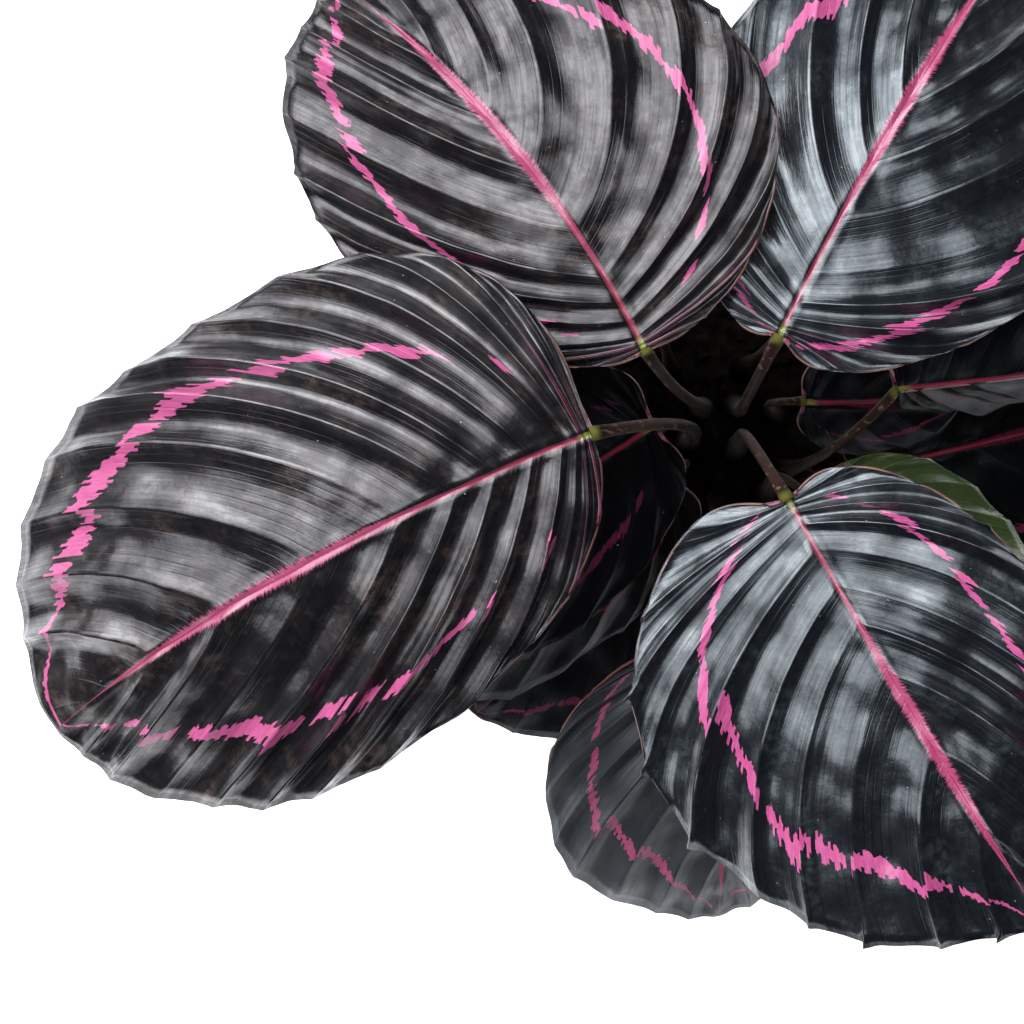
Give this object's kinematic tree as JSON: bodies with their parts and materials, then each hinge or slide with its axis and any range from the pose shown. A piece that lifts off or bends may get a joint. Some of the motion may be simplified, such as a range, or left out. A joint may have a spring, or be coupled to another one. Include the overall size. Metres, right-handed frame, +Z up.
{
  "type": "potted calathea plant",
  "caption": "Bushy potted foliage plant: broad dark pleated leaves with a rose midrib and ring on slender stalks, rooted in soil in a plain tapered clay pot.",
  "frame": {"origin": "middle of the pot's flat underside", "axes": "+Z up the pot's axis; -Z is the way the pot rests; +Y is the top edge of the picture and +X its right edge"},
  "size_m": [0.3344, 0.2704, 0.3078],
  "materials": {
    "clay": "matt unglazed clay",
    "soil": "loose damp potting soil of bark and peat fibre",
    "dark_leaf": "near-black satin leaf with a rose midrib and ring, burgundy below",
    "olive_leaf": "olive-green glossy leaf",
    "stalk": "satin brown-red leaf stalk"
  },
  "bodies": {
    "root": {"pot": "clay", "soil": "soil", "blade_west": "dark_leaf", "stalk_west": "stalk", "blade_north_west": "dark_leaf", "stalk_north_west": "stalk", "blade_north_east": "dark_leaf", "stalk_north_east": "stalk", "blade_south_east": "dark_leaf", "stalk_south_east": "stalk", "blade_south": "dark_leaf", "stalk_south": "stalk", "blade_inner_south_west": "dark_leaf", "stalk_inner_south_west": "stalk", "blade_middle_south_west": "dark_leaf", "stalk_middle_south_west": "stalk", "blade_low_south_west": "dark_leaf", "stalk_low_south_west": "stalk", "blade_curled_east": "dark_leaf", "stalk_curled_east": "stalk", "blade_olive_east": "olive_leaf", "stalk_olive_east": "stalk", "blade_small_east": "dark_leaf", "stalk_small_east": "stalk", "blade_low_east": "dark_leaf", "stalk_low_east": "stalk", "blade_low_north_east": "dark_leaf", "stalk_low_north_east": "stalk", "blade_low_north_west": "dark_leaf", "stalk_low_north_west": "stalk", "blade_low_west": "dark_leaf", "stalk_low_west": "stalk", "blade_low_south_east": "dark_leaf", "stalk_low_south_east": "stalk"}
  },
  "joints": []
}
